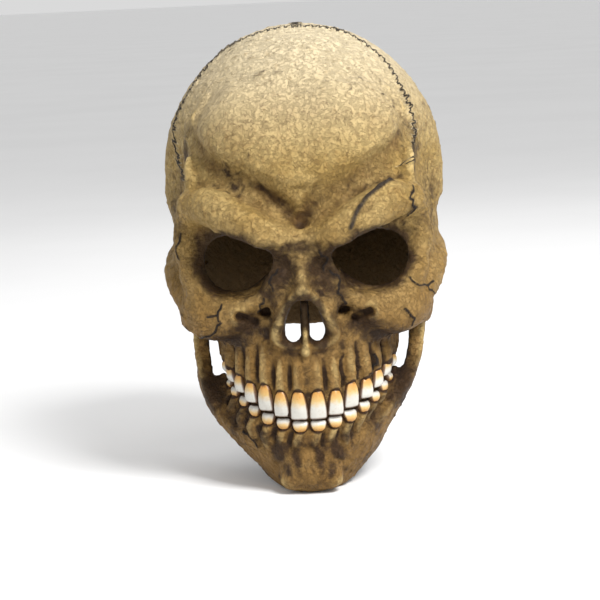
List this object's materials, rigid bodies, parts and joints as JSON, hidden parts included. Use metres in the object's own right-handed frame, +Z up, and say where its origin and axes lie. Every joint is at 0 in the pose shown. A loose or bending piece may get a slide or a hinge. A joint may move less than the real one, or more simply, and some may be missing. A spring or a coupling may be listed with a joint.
{
  "type": "skull mask",
  "caption": "Full-head latex skull mask with scowling brow ridges, hollow eye and nose openings, bared tooth rows and a lower jaw that opens on side hinges.",
  "frame": {"origin": "centre of the crown pad's underside, where the top of the wearer's head rests", "axes": "+Z up, the face looks along -Y, +X is the viewer's right when facing the mask"},
  "size_m": [0.195, 0.2433, 0.309],
  "materials": {
    "bone_latex": "satin, washed with brown in the recesses",
    "tooth_enamel": "gloss, yellowed towards the gum",
    "foam": "matt open-cell foam",
    "hinge_plastic": "matt"
  },
  "bodies": {
    "skull": {"skull_shell": "bone_latex", "left_upper_central_incisor": "tooth_enamel", "left_upper_lateral_incisor": "tooth_enamel", "left_upper_canine": "tooth_enamel", "left_upper_first_premolar": "tooth_enamel", "left_upper_second_premolar": "tooth_enamel", "left_upper_first_molar": "tooth_enamel", "left_upper_second_molar": "tooth_enamel", "right_upper_central_incisor": "tooth_enamel", "right_upper_lateral_incisor": "tooth_enamel", "right_upper_canine": "tooth_enamel", "right_upper_first_premolar": "tooth_enamel", "right_upper_second_premolar": "tooth_enamel", "right_upper_first_molar": "tooth_enamel", "right_upper_second_molar": "tooth_enamel", "crown_pad": "foam", "forehead_pad": "foam", "nape_pad": "foam", "left_temple_pad": "foam", "right_temple_pad": "foam", "left_hinge_rivet": "hinge_plastic", "right_hinge_rivet": "hinge_plastic", "left_hinge_washer": "hinge_plastic", "right_hinge_washer": "hinge_plastic"},
    "jaw": {"lower_jaw_shell": "bone_latex", "left_lower_central_incisor": "tooth_enamel", "left_lower_lateral_incisor": "tooth_enamel", "left_lower_canine": "tooth_enamel", "left_lower_first_premolar": "tooth_enamel", "left_lower_second_premolar": "tooth_enamel", "left_lower_first_molar": "tooth_enamel", "left_lower_second_molar": "tooth_enamel", "right_lower_central_incisor": "tooth_enamel", "right_lower_lateral_incisor": "tooth_enamel", "right_lower_canine": "tooth_enamel", "right_lower_first_premolar": "tooth_enamel", "right_lower_second_premolar": "tooth_enamel", "right_lower_first_molar": "tooth_enamel", "right_lower_second_molar": "tooth_enamel", "chin_pad": "foam"}
  },
  "joints": [
    {"name": "jaw_hinge", "type": "hinge", "parent": "skull", "child": "jaw", "pos_m": [0, -0.012, -0.1651], "axis": [1, 0, 0], "range_deg": [0, 15], "stiffness_Nm_per_rad": 0.3, "springref_deg": -17.19}
  ]
}
